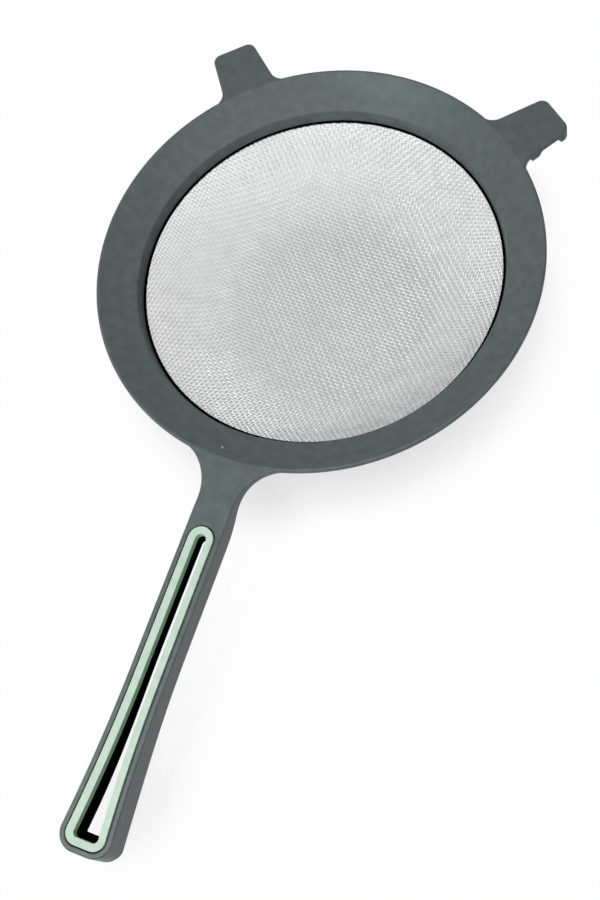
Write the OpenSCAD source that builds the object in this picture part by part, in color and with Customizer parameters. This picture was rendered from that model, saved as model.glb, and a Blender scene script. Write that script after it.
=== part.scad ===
// Hand-held wire-cloth strainer: a moulded funnel rim with two rest ears and a slotted handle.
// Millimetres, +Z up. The bowl's flat bottom stands on z = 0 at the origin, and the handle points along -Y.

/* [Rim] */
// Outer diameter of the rim
rim_d = 200; // [190:1:210]
// Height of the rim's edge above the bowl's bottom
rim_h = 43; // [40:0.5:50]
// Width of the sloping funnel, from the edge to its foot
funnel_w = 16.2; // [14:0.1:17]
// Drop from the edge to the foot of the funnel
funnel_drop = 9.2; // [8:0.1:10]
// Drop from the edge to the underside of the lip
lip_drop = 14.8; // [14:0.1:16]
// Thickness of the moulded wall
wall = 2.4; // [2:0.1:2.8]

/* [Wire cloth] */
// Diameter of one wire; the cloth is two wires thick
wire_d = 0.45; // [0.3:0.05:0.6]
// Slope of the bowl's side
bowl_slope = 50; // [45:1:55]
// Radius of the bend between the side and the flat bottom
bowl_bend = 50; // [40:1:55]
// Openings across the cloth, fewer and larger than those of the real weave
weave_count = 12; // [8:1:12]
// Share of the cloth's width that is wire, along each row of openings
weave_share = 0.28; // [0.2:0.02:0.4]

/* [Ears] */
// Angle of each ear from the line opposite the handle
ear_angle = 39.5; // [30:0.5:45]
// Distance from the bowl's axis to the end of an ear, beyond the rim's radius
ear_reach = 25.1; // [22:0.1:30]
// Width of an ear at its end
ear_end_w = 20; // [16:0.2:24]
// Slope of an ear's side that faces the other ear
ear_taper_in = 8; // [5:0.5:12]
// Slope of an ear's side that faces away from the other ear
ear_taper_out = 4.5; // [3:0.5:9]
// Thickness of an ear's plate
ear_t = 2.9; // [2.6:0.1:3.6]
// Depth of the ear's turned-down end, from its top face
ear_lip_h = 6.2; // [5.6:0.1:7]
// Depth of the ear's inner rib, from its top face
ear_rib_h = 5.4; // [4.8:0.1:6.4]

/* [Handle] */
// Length of the handle beyond the rim's edge
handle_l = 167; // [150:1:185]
// How far the handle slopes down from the rim
handle_dip = 3.5; // [2:0.5:5]
// Depth of the grip near the neck
grip_depth = 11.8; // [10:0.1:13]
// Extra depth at the end of the grip
end_swell = 3.7; // [3:0.1:5]
// Radius of the fillets between the rim and the neck
neck_fillet = 22; // [18:1:26]
// Width of the hanging slot near the neck
slot_w = 4.6; // [4.2:0.1:5.6]
// Distance from the rim's edge to the neck end of the slot
slot_start = 32.4; // [28:0.5:38]
// Width of the soft inlay's face
inlay_w = 3.05; // [2.6:0.05:3.4]
// Depth of the soft inlay
inlay_t = 3.6; // [3:0.1:4.2]
// Width of the hard border outside the inlay
border_w = 2.7; // [2.4:0.1:3.2]
// Thickness of the handle's outer wall round the back
back_wall = 2.2; // [1.8:0.1:2.6]

/* [Hidden] */
$fn = 96;

fir_grey = [0.36, 0.40, 0.40];
mint = [0.76, 0.86, 0.79];
steel = [0.80, 0.80, 0.81];

edge_h = 2.6;
edge_chamfer = 0.6;
rim_r = rim_d / 2;
crest_r = rim_r - edge_chamfer - funnel_w;
crest_round = 2;
lip_run = 2;
lip_r = crest_r - lip_run;
lip_wall = 4;
shadow_gap = [1.2, 0.7];
proud = 0.1;
root_inset = 1.5;
funnel_skin = 0.8;
space_h = 6;
space_w = 20;

cloth_t = 2 * wire_d;
seat_z = rim_h - lip_drop;
hem_start = lip_r + 0.4;
hem_r = lip_r + lip_wall - 0.3;
hem_bend = 1.2;
weave_turn = -4.4;
weave_r = lip_r - 2;
weave_pitch = 2 * weave_r / weave_count;

clamp_gap = 0.2;
clamp_base = 1.8;
clamp_rise = 2.2;
clamp_wall = 1.6;
clamp_w = lip_wall - shadow_gap.x + clamp_gap + clamp_wall;

ear_root = rim_r - 6;
ear_fillet = 7;
ear_corner = 4;
ear_round = 0.9;
ear_lip = 6.6;
lip_slope = 1.8;
ear_gap = 8.6;
ear_rib = 3.8;
rib_slope = 1.6;
rib_back_slope = 1;

flare_start = 85;
slot_taper = 0.003;
slot_flare = 0.0005;
slot_corner = 2;
slot_end = handle_l - inlay_w - border_w;
grip_corner = slot_corner + inlay_w + border_w;
foot_corner = 6.4;
neck_root = -9;
root_pull = 0.3;
root_depth = 3.6;
swell_start = 80;
swell_l = 70;
end_lift = 2.2;
end_lift_l = 6;
neck_drop_start = -4;
neck_drop_l = 34;
top_round = 1.3;
foot_round = 0.8;

seam_depth = 8;
seam_round = 0.2;
back_gap = 0.1;
back_start = 26;
back_slot_ease = 0.5;
back_slot_short = 1.6;
inlay_gap = 0.15;
inlay_proud = 0.15;
through = 40;
overcut = 5;
side_steps = 12;

// Points of an arc about c, from angle a0 to a1 in n steps
function arc(c, r, a0, a1, n) = [for (i = [0:n]) c + r * unit(a0 + (a1 - a0) * i / n)];
function unit(a) = [cos(a), sin(a)];
function backwards(points) = [for (i = [len(points) - 1:-1:0]) points[i]];
function flip(points) = [for (p = backwards(points)) [-p.x, p.y]];
function both_sides(half) = concat(half, flip(half));
function clamped(t) = min(1, max(0, t));
function ease(t) = let (k = clamped(t)) k * k * (3 - 2 * k);

// Points of an arc of radius r that rounds the corner b between a and c
function corner_arc(a, b, c, r, n) =
    let (
        to_a = (a - b) / norm(a - b),
        to_c = (c - b) / norm(c - b),
        half = acos(to_a * to_c) / 2,
        centre = b + (to_a + to_c) / norm(to_a + to_c) * r / sin(half),
        from_a = b + to_a * r / tan(half) - centre,
        from_c = b + to_c * r / tan(half) - centre,
        start = atan2(from_a.y, from_a.x)
    )
    arc(centre, r, start, start + atan2(cross(from_a, from_c), from_a * from_c), n);

// Half of the slot's width at a distance u along the handle
function slot_half(u) =
    slot_w / 2 + slot_taper * (u - slot_start) + slot_flare * pow(max(0, u - flare_start), 2);
function grip_half(u) = slot_half(u) + inlay_w + border_w;

// Depth of the handle below its top face
function grip_foot(u) =
    root_depth + (grip_depth - root_depth) * sin(90 * clamped((u - neck_drop_start) / neck_drop_l))
    + end_swell * ease((u - swell_start) / swell_l)
    - end_lift * ease((u - handle_l + end_lift_l) / end_lift_l);

// Right half of an outline that runs round the slot at a distance o, with its end moved by e
function slot_side(o, e = 0) =
    let (
        neck_r = slot_w / 2,
        neck_u = slot_start + neck_r,
        last_u = slot_end + e - slot_corner
    )
    concat(
        arc([0, neck_u], neck_r + o, -90, 0, 8),
        [for (i = [1:side_steps - 1])
            let (u = neck_u + (last_u - neck_u) * i / side_steps) [slot_half(u) + o, u]],
        arc([slot_half(last_u) - slot_corner, last_u], slot_corner + o, 0, 90, 6)
    );

// Right half of the handle's own outline, drawn in by e; it starts at the rim or at from
function grip_side(e, from, corner) =
    let (
        neck_x = grip_half(0) + neck_fillet,
        neck_u = sqrt(pow(rim_r - root_inset + neck_fillet, 2) - pow(neck_x, 2)) - rim_r,
        rim_a = 180 + atan2(rim_r + neck_u, neck_x),
        first_u = max(from, neck_u),
        last_u = handle_l - corner,
        neck = concat(
            [[neck_x - neck_fillet * root_pull, neck_root]],
            arc([neck_x, neck_u], neck_fillet + e, rim_a, 180, 9)
        ),
        side = [for (i = [(from > 0 ? 0 : 1):side_steps - 1])
            let (u = first_u + (last_u - first_u) * i / side_steps) [grip_half(u) - e, u]]
    )
    concat(
        from > 0 ? [] : neck,
        side,
        arc([grip_half(last_u) - corner, last_u], corner - e, 0, 90, 7)
    );

// One side of an ear's outline, drawn in by e: its concave root, tapered side and rounded corner
function ear_side(e, taper) =
    let (
        t = tan(taper),
        end = rim_r + ear_reach,
        base_r = rim_r - root_inset + ear_fillet,
        a = ear_end_w / 2 + end * t + ear_fillet / cos(taper),
        root_y = (a * t + sqrt(a * a * t * t - (1 + t * t) * (a * a - base_r * base_r))) / (1 + t * t),
        root_x = a - root_y * t,
        corner_x = ear_end_w / 2 + ear_corner * (t - 1 / cos(taper))
    )
    concat(
        [[root_x - ear_fillet - e, ear_root]],
        arc([root_x, root_y], ear_fillet + e, 180 + atan2(root_y, root_x), 180 + taper, 7),
        arc([corner_x, end - ear_corner], ear_corner - e, taper, 90, 6)
    );
function ear_ring(e, z) =
    let (outline = concat(ear_side(e, ear_taper_in), flip(ear_side(e, ear_taper_out))))
    [for (p = outline) [p.x, -p.y, z]];

// A closed body through rings of equal length, whose first and last rings are its top and its foot
module loft(rings) {
    n = len(rings[0]);
    last = (len(rings) - 1) * n;
    sides = [for (k = [0:len(rings) - 2], i = [0:n - 1])
        let (j = (i + 1) % n)
        [k * n + j, k * n + i, (k + 1) * n + i, (k + 1) * n + j]];
    top = [for (i = [0:n / 2 - 2]) [i, i + 1, n - 2 - i, n - 1 - i]];
    foot = [for (i = [0:n / 2 - 2]) [last + n - 1 - i, last + n - 2 - i, last + i + 1, last + i]];
    polyhedron([for (ring = rings) each ring], concat(top, sides, foot));
}

// Rings of the handle from a level top face down to its rounded foot
function grip_ring(e, from, corner, z) =
    [for (p = both_sides(grip_side(e, from, corner))) [p.x, -p.y, z(p.y)]];
function grip_rings(from, corners, top, round, inset) = concat(
    [for (a = [0:22.5:90])
        grip_ring(
            inset + round * (1 - sin(a)),
            from,
            corners[0],
            function (u) -top - round * (1 - cos(a))
        )],
    [for (a = [0:45:90])
        grip_ring(
            inset + foot_round * (1 - cos(a)),
            from,
            corners[1],
            function (u) -grip_foot(u) + foot_round * (1 - sin(a))
        )]
);

// The handle's own frame: u runs along -Y from the rim's edge, and z = 0 is its top face
module on_handle() translate([0, -rim_r, rim_h + proud]) rotate([handle_dip, 0, 0]) children();

module slot_cut(o, depth, e = 0)
    translate([0, 0, -depth])
        linear_extrude(depth + overcut)
            mirror([0, 1])
                polygon(both_sides(slot_side(o, e)));

// The space above the funnel, a little under its surface, that the ears and neck stay out of
module funnel_space()
    translate([0, 0, rim_h])
        rotate_extrude()
            polygon([
                [lip_r - space_w, space_h],
                [rim_r - edge_chamfer, space_h],
                [rim_r - edge_chamfer, -funnel_skin],
                [crest_r, -funnel_drop - funnel_skin],
                [lip_r + funnel_skin, -lip_drop],
                [lip_r - space_w, -lip_drop]
            ]);

// The funnel's ring: a sloping wall with a rounded crest, over an upright lip that is undercut at its foot
module rim_ring() {
    edge = [rim_r - edge_chamfer, 0];
    lip_foot = [lip_r, -lip_drop + shadow_gap.y];
    translate([0, 0, rim_h])
        rotate_extrude()
            polygon(concat(
                [edge],
                corner_arc(edge, [crest_r, -funnel_drop], lip_foot, crest_round, 3),
                [
                    lip_foot,
                    [lip_r + shadow_gap.x, lip_foot.y],
                    [lip_r + shadow_gap.x, -lip_drop],
                    [lip_r + lip_wall, -lip_drop],
                    [lip_r + lip_wall, -funnel_drop - wall / 2],
                    [rim_r - edge_chamfer, -edge_h],
                    [rim_r, -edge_h + edge_chamfer],
                    [rim_r, -edge_chamfer]
                ]
            ));
}

// One ear: its rounded outline in plan, under the side view with the two ribs that hold a pot's edge
module ear() {
    end = rim_r + ear_reach;
    lip = end - ear_lip;
    rib = lip - ear_gap;
    rib_foot = rib - rib_slope - ear_rib;
    intersection() {
        translate([0, 0, rim_h + proud])
            rotate([0, 0, 180])
                loft(concat(
                    [for (a = [0:30:90])
                        ear_ring(ear_round * (1 - sin(a)), -ear_round * (1 - cos(a)))],
                    [ear_ring(0, -through)]
                ));
        translate([-rim_r / 2, 0, rim_h])
            rotate([90, 0, 90])
                linear_extrude(rim_r)
                    polygon([
                        [ear_root - overcut, overcut],
                        [end + overcut, overcut],
                        [end + overcut, -ear_lip_h],
                        [lip + lip_slope, -ear_lip_h],
                        [lip, -ear_t],
                        [rib, -ear_t],
                        [rib - rib_slope, -ear_rib_h],
                        [rib_foot, -ear_rib_h],
                        [rib_foot - rib_back_slope, -ear_t],
                        [ear_root - overcut, -ear_t]
                    ]);
    }
}

// The handle's outer wall and top, with the slot, the pocket for the inlay and the recess for the back
module grip_shell()
    on_handle()
        difference() {
            loft(grip_rings(0, [grip_corner, foot_corner], 0, top_round, 0));
            slot_cut(0, through);
            slot_cut(inlay_w, inlay_t);
            translate([0, 0, -through])
                linear_extrude(through - seam_depth)
                    mirror([0, 1])
                        polygon(both_sides(grip_side(back_wall, back_start, foot_corner)));
        }

// Points of the cloth's face, from the hem to the flat bottom, offset by t along its normal
function cloth_face(t) =
    let (
        hem_z = seat_z - cloth_t / 2,
        s = [cos(bowl_slope), sin(bowl_slope)],
        bottom_z = cloth_t / 2,
        bend_x = hem_start - hem_bend * tan(bowl_slope / 2)
            - (hem_z - bottom_z - bowl_bend * (1 - s.x)) / tan(bowl_slope) - bowl_bend * s.y
    )
    concat(
        [[hem_r, hem_z + t]],
        arc([hem_start, hem_z - hem_bend], hem_bend + t, 90, 90 + bowl_slope, 4),
        arc([bend_x, bottom_z + bowl_bend], bowl_bend - t, bowl_slope - 90, -90, 12),
        [[0, bottom_z + t]]
    );

// Square openings in rows over the cloth; those at the hem are cut off along a circle
module weave_openings() {
    far = weave_pitch * (weave_count - 1) / 2;
    reach = weave_r + weave_pitch / 5;
    rotate(weave_turn)
        intersection() {
            circle(weave_r);
            for (x = [-far:weave_pitch:far], y = [-far:weave_pitch:far])
                if (norm([x, y]) < reach)
                    translate([x, y]) square(weave_pitch * (1 - weave_share), center = true);
        }
}

module rim_frame() color(fir_grey) {
    rim_ring();
    difference() {
        union() {
            for (left = [0, 1]) mirror([left, 0, 0]) rotate(-ear_angle) ear();
            grip_shell();
        }
        funnel_space();
    }
}

module clamp_ring() color(fir_grey)
    translate([0, 0, seat_z - cloth_t])
        rotate_extrude()
            difference() {
                translate([lip_r + shadow_gap.x, -clamp_base])
                    square([clamp_w, clamp_base + cloth_t + clamp_rise]);
                translate([lip_r, 0]) square([lip_wall + clamp_gap, lip_drop]);
            }

module mesh_bowl() color(steel)
    difference() {
        rotate_extrude() polygon(concat(cloth_face(cloth_t / 2), backwards(cloth_face(-cloth_t / 2))));
        translate([0, 0, -overcut]) linear_extrude(rim_h) weave_openings();
    }

module handle_inlay() color(mint)
    on_handle()
        difference() {
            translate([0, 0, -inlay_t])
                linear_extrude(inlay_t + inlay_proud)
                    mirror([0, 1])
                        polygon(both_sides(slot_side(inlay_w - inlay_gap)));
            slot_cut(0, through);
        }

module handle_back() color(fir_grey)
    on_handle()
        difference() {
            loft(grip_rings(
                back_start + back_gap,
                [foot_corner, foot_corner],
                seam_depth,
                seam_round,
                back_wall + back_gap
            ));
            slot_cut(back_slot_ease, through, -back_slot_short);
        }

rim_frame();
clamp_ring();
mesh_bowl();
handle_inlay();
handle_back();
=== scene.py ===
"""Looks of a hand-held wire-cloth strainer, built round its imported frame.

The pieces keep the frame's axes: +Z up, the bowl's flat bottom on z = 0 at the origin, the handle along -Y.
Sizes are in millimetres, and a piece becomes metres when it is placed.
"""

from __future__ import annotations

import logging
import math
from collections.abc import Callable
from dataclasses import dataclass, field
from enum import Enum

import bmesh
import bpy
from mathutils import Matrix, Vector

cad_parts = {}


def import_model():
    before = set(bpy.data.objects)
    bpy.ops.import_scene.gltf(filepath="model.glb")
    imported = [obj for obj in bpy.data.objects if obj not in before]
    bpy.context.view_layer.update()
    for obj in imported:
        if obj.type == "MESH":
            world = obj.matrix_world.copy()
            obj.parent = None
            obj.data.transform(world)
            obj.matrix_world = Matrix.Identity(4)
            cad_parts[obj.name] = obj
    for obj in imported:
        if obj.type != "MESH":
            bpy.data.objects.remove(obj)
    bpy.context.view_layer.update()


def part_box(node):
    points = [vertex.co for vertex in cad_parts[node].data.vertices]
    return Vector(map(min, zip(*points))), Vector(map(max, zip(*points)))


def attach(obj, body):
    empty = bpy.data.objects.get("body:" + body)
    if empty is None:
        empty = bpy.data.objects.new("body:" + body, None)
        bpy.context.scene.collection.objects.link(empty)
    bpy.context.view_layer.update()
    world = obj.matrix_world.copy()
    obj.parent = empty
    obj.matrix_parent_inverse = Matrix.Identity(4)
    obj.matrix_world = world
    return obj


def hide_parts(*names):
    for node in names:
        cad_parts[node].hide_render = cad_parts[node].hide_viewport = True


LOG = logging.getLogger("strainer")
MM = 0.001
BODY = "root"
WHITE = (1.0, 1.0, 1.0, 1.0)
AT_ORIGIN = Matrix.Identity(4)

# Distance at which points count as one, and at which a face's middle counts as lying on a surface
MERGE_REACH = 0.0005
TOUCH = 0.01

# Least height of a level face's normal, and greatest height of an upright face's
LEVEL = 0.9
UPRIGHT = 0.3

# Angles in degrees from which an edge stays sharp, on the frame with its cover and on the small pieces
FRAME_SHARP = 34.0
SMALL_SHARP = 40.0

# Steps in the quarter round of a top edge and of a foot
EDGE_STEPS = 6
FOOT_STEPS = 4

# Range of noise that the finishes use
NOISE_LOW = 0.3
NOISE_HIGH = 0.7

Point = tuple[float, float]
Outline = list[Point]
Spot = tuple[float, float, float]
Ring = list[Spot]
Face = list[int]
Patch = tuple[float, float]
Tint = tuple[float, float, float]
Colour = tuple[float, float, float, float]
Piece = bpy.types.Object
Material = bpy.types.Material
Socket = bpy.types.NodeSocket


class Slot(Enum):
    """Material slots of the record, by name."""

    FRAME = "frame_plastic"
    INLAY = "inlay_rubber"
    CLOTH = "wire_cloth"


class Join(Enum):
    """Ways to combine two solids."""

    ADD = "UNION"
    CUT = "DIFFERENCE"
    KEEP = "INTERSECT"


class Side(Enum):
    """The two families of wires in a plain weave, by the side on which the first crossing passes."""

    WARP = 1.0
    WEFT = -1.0


class Coat(Enum):
    """Places of a piece's finishes in its list: the main one, the one that paints shade into the slot, the
    groove and onto the lip's foot, and the gate's.
    """

    MAIN = 0
    # Painted shade: black in the slot, the groove and on the lip's foot, a darker mint on the inlay's wall
    # along the slot
    INSIDE = 1
    GATE = 2


@dataclass(frozen=True)
class Facet:
    """A face by its middle and normal, in a frame of choice, and its area."""

    middle: Vector
    normal: Vector
    area: float


def srgb(red: float, green: float, blue: float) -> Colour:
    """Turns screen colour values of 0 to 255 into the linear colour that a shader takes.

    Args:
        red: Red on the screen.
        green: Green on the screen.
        blue: Blue on the screen.

    Returns:
        The linear colour, with full alpha.
    """

    def channel(value: float) -> float:
        """Returns one linear channel."""
        share = value / 255
        return share / 12.92 if share <= 0.04045 else ((share + 0.055) / 1.055) ** 2.4

    return (channel(red), channel(green), channel(blue), 1.0)


def ease(value: float) -> float:
    """Returns a smooth step from 0 to 1 as the value goes from 0 to 1."""
    share = min(1.0, max(0.0, value))
    return share * share * (3 - 2 * share)


def arc(centre: Point, radius: float, start: float, stop: float, steps: int) -> Outline:
    """Makes the points of an arc.

    Args:
        centre: Centre of the arc.
        radius: Radius of the arc.
        start: First angle, in degrees.
        stop: Last angle, in degrees.
        steps: Number of equal steps between them.

    Returns:
        The points, with both ends.
    """
    angles = [math.radians(start + (stop - start) * i / steps) for i in range(steps + 1)]
    return [(centre[0] + radius * math.cos(a), centre[1] + radius * math.sin(a)) for a in angles]


def quarter(steps: int) -> Outline:
    """Makes the points of a quarter round of radius 1, by their distances from the two sides it joins.

    Args:
        steps: Number of equal steps.

    Returns:
        The pairs of distances, from (1, 0) to (0, 1).
    """
    turns = [math.radians(90 / steps * i) for i in range(steps + 1)]
    return [(1 - math.sin(turn), 1 - math.cos(turn)) for turn in turns]


def rounded(corners: list[Spot], steps: int) -> Outline:
    """Rounds the corners of a closed outline.

    Args:
        corners: Each corner's two coordinates and its radius, where 0 keeps it sharp.
        steps: Number of steps in each arc.

    Returns:
        The rounded outline.
    """
    outline: Outline = []
    for i, (x, y, radius) in enumerate(corners):
        corner = Vector((x, y))
        if radius == 0:
            outline.append((x, y))
            continue
        back = (Vector(corners[i - 1][:2]) - corner).normalized()
        ahead = (Vector(corners[(i + 1) % len(corners)][:2]) - corner).normalized()
        half = back.angle(ahead) / 2
        centre = corner + (back + ahead).normalized() * radius / math.sin(half)
        first = corner + back * radius / math.tan(half) - centre
        last = corner + ahead * radius / math.tan(half) - centre
        start = math.degrees(math.atan2(first.y, first.x))
        turn = math.degrees(math.atan2(first.cross(last), first.dot(last)))
        outline += arc((centre.x, centre.y), radius, start, start + turn, steps)
    return outline


def flipped(half: Outline) -> Outline:
    """Returns a half outline mirrored to the other side, in reverse order."""
    return [(-x, y) for x, y in reversed(half)]


def toward(azimuth: float, elevation: float) -> Vector:
    """Makes the direction from the part to a lamp or to the camera.

    Args:
        azimuth: Angle round the part in degrees, from the handle's end towards +X.
        elevation: Angle over the floor, in degrees.

    Returns:
        The direction, of length 1.
    """
    turn, rise = math.radians(azimuth), math.radians(elevation)
    level = math.cos(rise)
    return Vector((math.sin(turn) * level, -math.cos(turn) * level, math.sin(rise)))


def linked(name: str, data: bpy.types.ID) -> Piece:
    """Makes an object of some data.

    Args:
        name: Name of the object.
        data: Its mesh, lamp or camera.

    Returns:
        The object, linked to the scene.
    """
    made = bpy.data.objects.new(name, data)
    bpy.context.scene.collection.objects.link(made)
    return made


def solid(name: str, rings: list[Ring], faces: list[Face]) -> Piece:
    """Makes an object of one mesh.

    Args:
        name: Name of the object.
        rings: Its points, ring by ring.
        faces: Its faces, each the numbers of its points.

    Returns:
        The linked object.
    """
    mesh = bpy.data.meshes.new(name)
    mesh.from_pydata([spot for ring in rings for spot in ring], [], faces)
    mesh.update()
    return linked(name, mesh)


def side_faces(rings: list[Ring], closed: bool = False) -> list[Face]:
    """Makes the four-sided faces between rings that follow each other.

    Args:
        rings: Rings of equal length.
        closed: Whether the last ring meets the first.

    Returns:
        The faces, by the numbers of the points.
    """
    count = len(rings[0])
    faces = []
    for k in range(len(rings) if closed else len(rings) - 1):
        here, ahead = k * count, (k + 1) % len(rings) * count
        for i in range(count):
            j = (i + 1) % count
            faces.append([here + i, here + j, ahead + j, ahead + i])
    return faces


def loft(name: str, rings: list[Ring]) -> Piece:
    """Makes a closed body through rings that are symmetric in point order.

    Args:
        name: Name of the object.
        rings: Rings of equal length, from the top down, each clockwise seen from above.

    Returns:
        The body, whose first and last rings are closed by strips from side to side.
    """
    count = len(rings[0])
    last = (len(rings) - 1) * count
    strips = [[i, i + 1, count - 2 - i, count - 1 - i] for i in range(count // 2 - 1)]
    ends = [strip[::-1] for strip in strips] + [[last + i for i in strip] for strip in strips]
    return solid(name, rings, ends + side_faces(rings))


def band(name: str, rings: list[Ring]) -> Piece:
    """Makes a closed body through rings of which the last meets the first.

    Args:
        name: Name of the object.
        rings: Rings of equal length. Seen from outside, the next one lies to the right of one that runs up.

    Returns:
        The body.
    """
    return solid(name, rings, [[a, d, c, b] for a, b, c, d in side_faces(rings, closed=True)])


def revolve(name: str, profile: Outline, segments: int) -> Piece:
    """Turns a closed profile about the Z axis.

    Args:
        name: Name of the object.
        profile: Radius and height of each point, counter-clockwise.
        segments: Number of segments round the axis.

    Returns:
        The closed ring.
    """
    turns = [2 * math.pi * k / segments for k in range(segments)]
    return band(name, [[(r * math.cos(a), r * math.sin(a), z) for r, z in profile] for a in turns])


def prism(name: str, outline: Outline, low: float, high: float) -> Piece:
    """Extrudes a closed outline along Z.

    Args:
        name: Name of the object.
        outline: Counter-clockwise outline.
        low: Height of the lower face.
        high: Height of the upper face.

    Returns:
        The closed prism.
    """
    count = len(outline)
    rings = [[(x, y, z) for x, y in outline] for z in (low, high)]
    ends = [list(reversed(range(count))), list(range(count, 2 * count))]
    return solid(name, rings, ends + side_faces(rings))


def bake(made: Piece) -> None:
    """Swaps an object's mesh for its evaluated one and removes the modifiers.

    Args:
        made: The object.
    """
    view = bpy.context.evaluated_depsgraph_get()
    mesh = bpy.data.meshes.new_from_object(made.evaluated_get(view))
    made.modifiers.clear()
    made.data = mesh


def combine(base: Piece, tool: Piece, join: Join) -> Piece:
    """Combines two solids and removes the second.

    Args:
        base: Solid that is changed.
        tool: Solid that is added, cut away or kept in common.
        join: Way to combine them.

    Returns:
        The changed solid.
    """
    step = base.modifiers.new("combine", "BOOLEAN")
    step.operation = join.value
    step.solver = "MANIFOLD"
    step.object = tool
    bake(base)
    bpy.data.objects.remove(tool)
    return base


def merge_doubles(made: Piece) -> None:
    """Merges the points that lie on each other, so no face is left without an area.

    Args:
        made: Piece to mend.
    """
    shape = bmesh.new()
    shape.from_mesh(made.data)
    bmesh.ops.remove_doubles(shape, verts=shape.verts, dist=MERGE_REACH)
    shape.to_mesh(made.data)
    shape.free()


def smooth(made: Piece, sharp_angle: float) -> None:
    """Shades a mesh smooth apart from its sharp edges, with flats kept flat.

    Args:
        made: Piece to shade.
        sharp_angle: Angle in degrees from which an edge stays sharp.
    """
    merge_doubles(made)
    made.data.polygons.foreach_set("use_smooth", [True] * len(made.data.polygons))
    made.data.set_sharp_from_angle(angle=math.radians(sharp_angle))
    flats = made.modifiers.new("flats", "WEIGHTED_NORMAL")
    flats.keep_sharp = True
    bake(made)


def wear(made: Piece, *finishes: Material) -> None:
    """Gives a piece its finishes, with every face in the first.

    Args:
        made: The piece.
        finishes: Its finishes, in the order of Coat.
    """
    made.data.materials.clear()
    for finish in finishes:
        made.data.materials.append(finish)
    made.data.polygons.foreach_set("material_index", [Coat.MAIN.value] * len(made.data.polygons))


def paint(made: Piece, coat: Coat, chosen: Callable[[Facet], bool], seat: Matrix = AT_ORIGIN) -> None:
    """Gives another of its finishes to some faces of a piece.

    Args:
        made: The piece, in millimetres.
        coat: Place of the finish in the piece's list.
        chosen: Says whether a face takes the finish.
        seat: Place of the frame that the faces are described in.
    """
    inverse = seat.inverted()
    turn = inverse.to_3x3()
    for face in made.data.polygons:
        if chosen(Facet(inverse @ face.center, turn @ face.normal, face.area)):
            face.material_index = coat.value


def place(made: Piece, name: str, nodes: tuple[str, ...]) -> None:
    """Turns a finished piece into metres and hands it to the frame.

    Args:
        made: Piece in millimetres, at the origin.
        name: Name of the piece.
        nodes: Nodes of the frame that it stands for.
    """
    made.name = name
    made.data.name = name
    made.data.transform(Matrix.Scale(MM, 4))
    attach(made, BODY)
    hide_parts(*nodes)
    made.data.calc_loop_triangles()
    LOG.info("%s: %d triangles", name, len(made.data.loop_triangles))


class NodeMaker:
    """A node tree that is built by short calls."""

    def __init__(self, tree: bpy.types.NodeTree) -> None:
        """Takes the tree to build in."""
        self.tree = tree

    def node(
        self, kind: str, *terms: object, settings: dict[str, object] | None = None, **inputs: object
    ) -> bpy.types.Node:
        """Adds a node.

        Args:
            kind: Kind of node.
            terms: Values or sockets for its first inputs, in order.
            settings: Properties of the node.
            inputs: Values or sockets for its inputs by name, with _ for a space.

        Returns:
            The node.
        """
        made = self.tree.nodes.new(kind)
        for name, value in (settings or {}).items():
            setattr(made, name, value)
        for socket, value in zip(made.inputs, terms):
            self.feed(socket, value)
        self.fill(made, **inputs)
        return made

    def fill(self, node: bpy.types.Node, **inputs: object) -> None:
        """Feeds a node's inputs by name, with _ for a space."""
        for name, value in inputs.items():
            self.feed(node.inputs[name.replace("_", " ")], value)

    def feed(self, socket: Socket, value: object) -> None:
        """Links an input to a socket, or sets its value.

        Args:
            socket: The input.
            value: Socket or value that it takes.
        """
        if isinstance(value, bpy.types.NodeSocket):
            self.tree.links.new(value, socket)
        else:
            socket.default_value = value

    def math(self, operation: str, *terms: object) -> Socket:
        """Returns the result of a new Math node on values or sockets."""
        return self.node("ShaderNodeMath", *terms, settings={"operation": operation}).outputs[0]

    def vector(self, *terms: object) -> Socket:
        """Returns a new vector of values or sockets for X, Y and Z."""
        return self.node("ShaderNodeCombineXYZ", *terms).outputs[0]

    def mix(self, share: object, low: Socket, high: Socket) -> Socket:
        """Returns a new mix of two shaders, by the share of the second."""
        return self.node("ShaderNodeMixShader", share, low, high).outputs[0]

    def watched(self) -> Socket:
        """Tells the rays that look at the surround from those that only light the part.

        Returns:
            1 where a ray comes from the camera, a reflection or a clear body, and 0 elsewhere.
        """
        path = self.node("ShaderNodeLightPath").outputs
        bent = self.math("MAXIMUM", path["Is Glossy Ray"], path["Is Transmission Ray"])
        return self.math("MAXIMUM", path["Is Camera Ray"], bent)


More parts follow.
